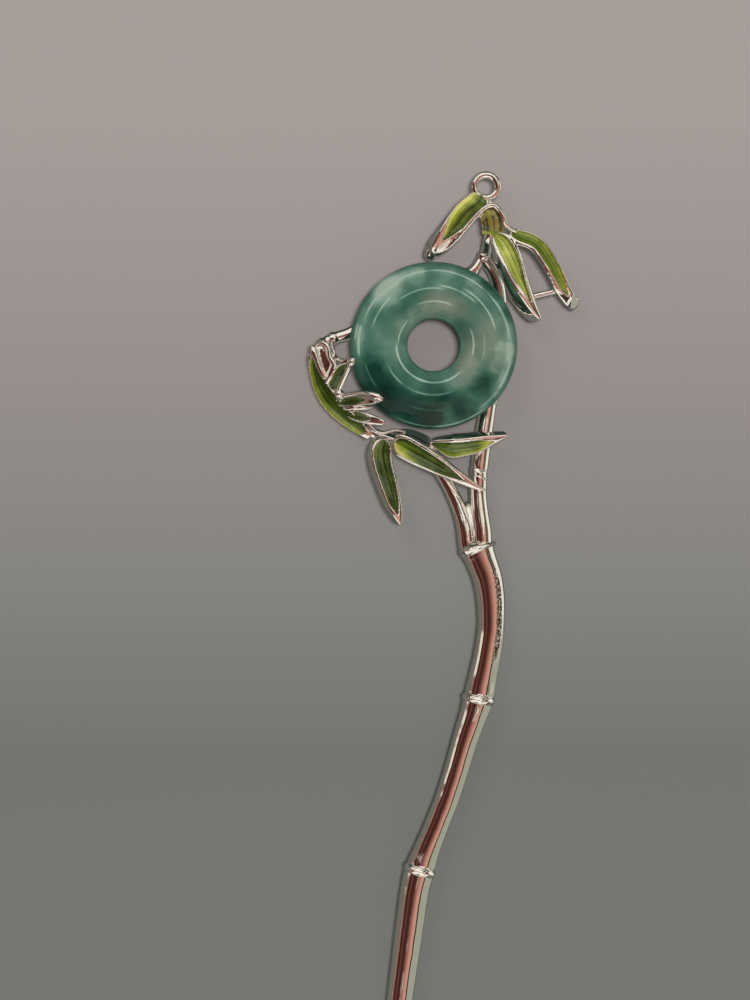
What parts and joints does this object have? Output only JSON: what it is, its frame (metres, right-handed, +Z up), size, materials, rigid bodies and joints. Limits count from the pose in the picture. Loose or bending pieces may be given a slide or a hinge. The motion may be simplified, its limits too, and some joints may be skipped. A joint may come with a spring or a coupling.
{
  "type": "bamboo hair stick",
  "caption": "Bright bamboo hair stick that forks into a hoop of thin canes with enamelled leaves round a jade disc, with a hanging loop at its top.",
  "frame": {"origin": "on the surface that the stick lies on, under the centre of its footprint", "axes": "+Y along the stick from its point to the hanging loop, +X to the right seen from the front of the disc, +Z up through the disc's front face"},
  "size_m": [0.0455, 0.1778, 0.0092],
  "materials": {
    "plated_metal": "bright silver plating on a cast alloy, with soft cast edges",
    "jade": "polished teal-green stone, a little translucent, with milky and dark clouds",
    "leaf_enamel": "clear green enamel over a veined metal ground, paler and yellower at the bases and edges"
  },
  "bodies": {
    "root": {"bamboo_frame": "plated_metal", "hanging_loop": "plated_metal", "jade_disc": "jade", "enamel_top_left": "leaf_enamel", "enamel_top_knot": "leaf_enamel", "enamel_top_middle": "leaf_enamel", "enamel_top_right": "leaf_enamel", "enamel_side_outer": "leaf_enamel", "enamel_side_upper": "leaf_enamel", "enamel_side_middle": "leaf_enamel", "enamel_side_lower": "leaf_enamel", "enamel_bottom_left": "leaf_enamel", "enamel_bottom_middle": "leaf_enamel", "enamel_bottom_right": "leaf_enamel"}
  },
  "joints": []
}
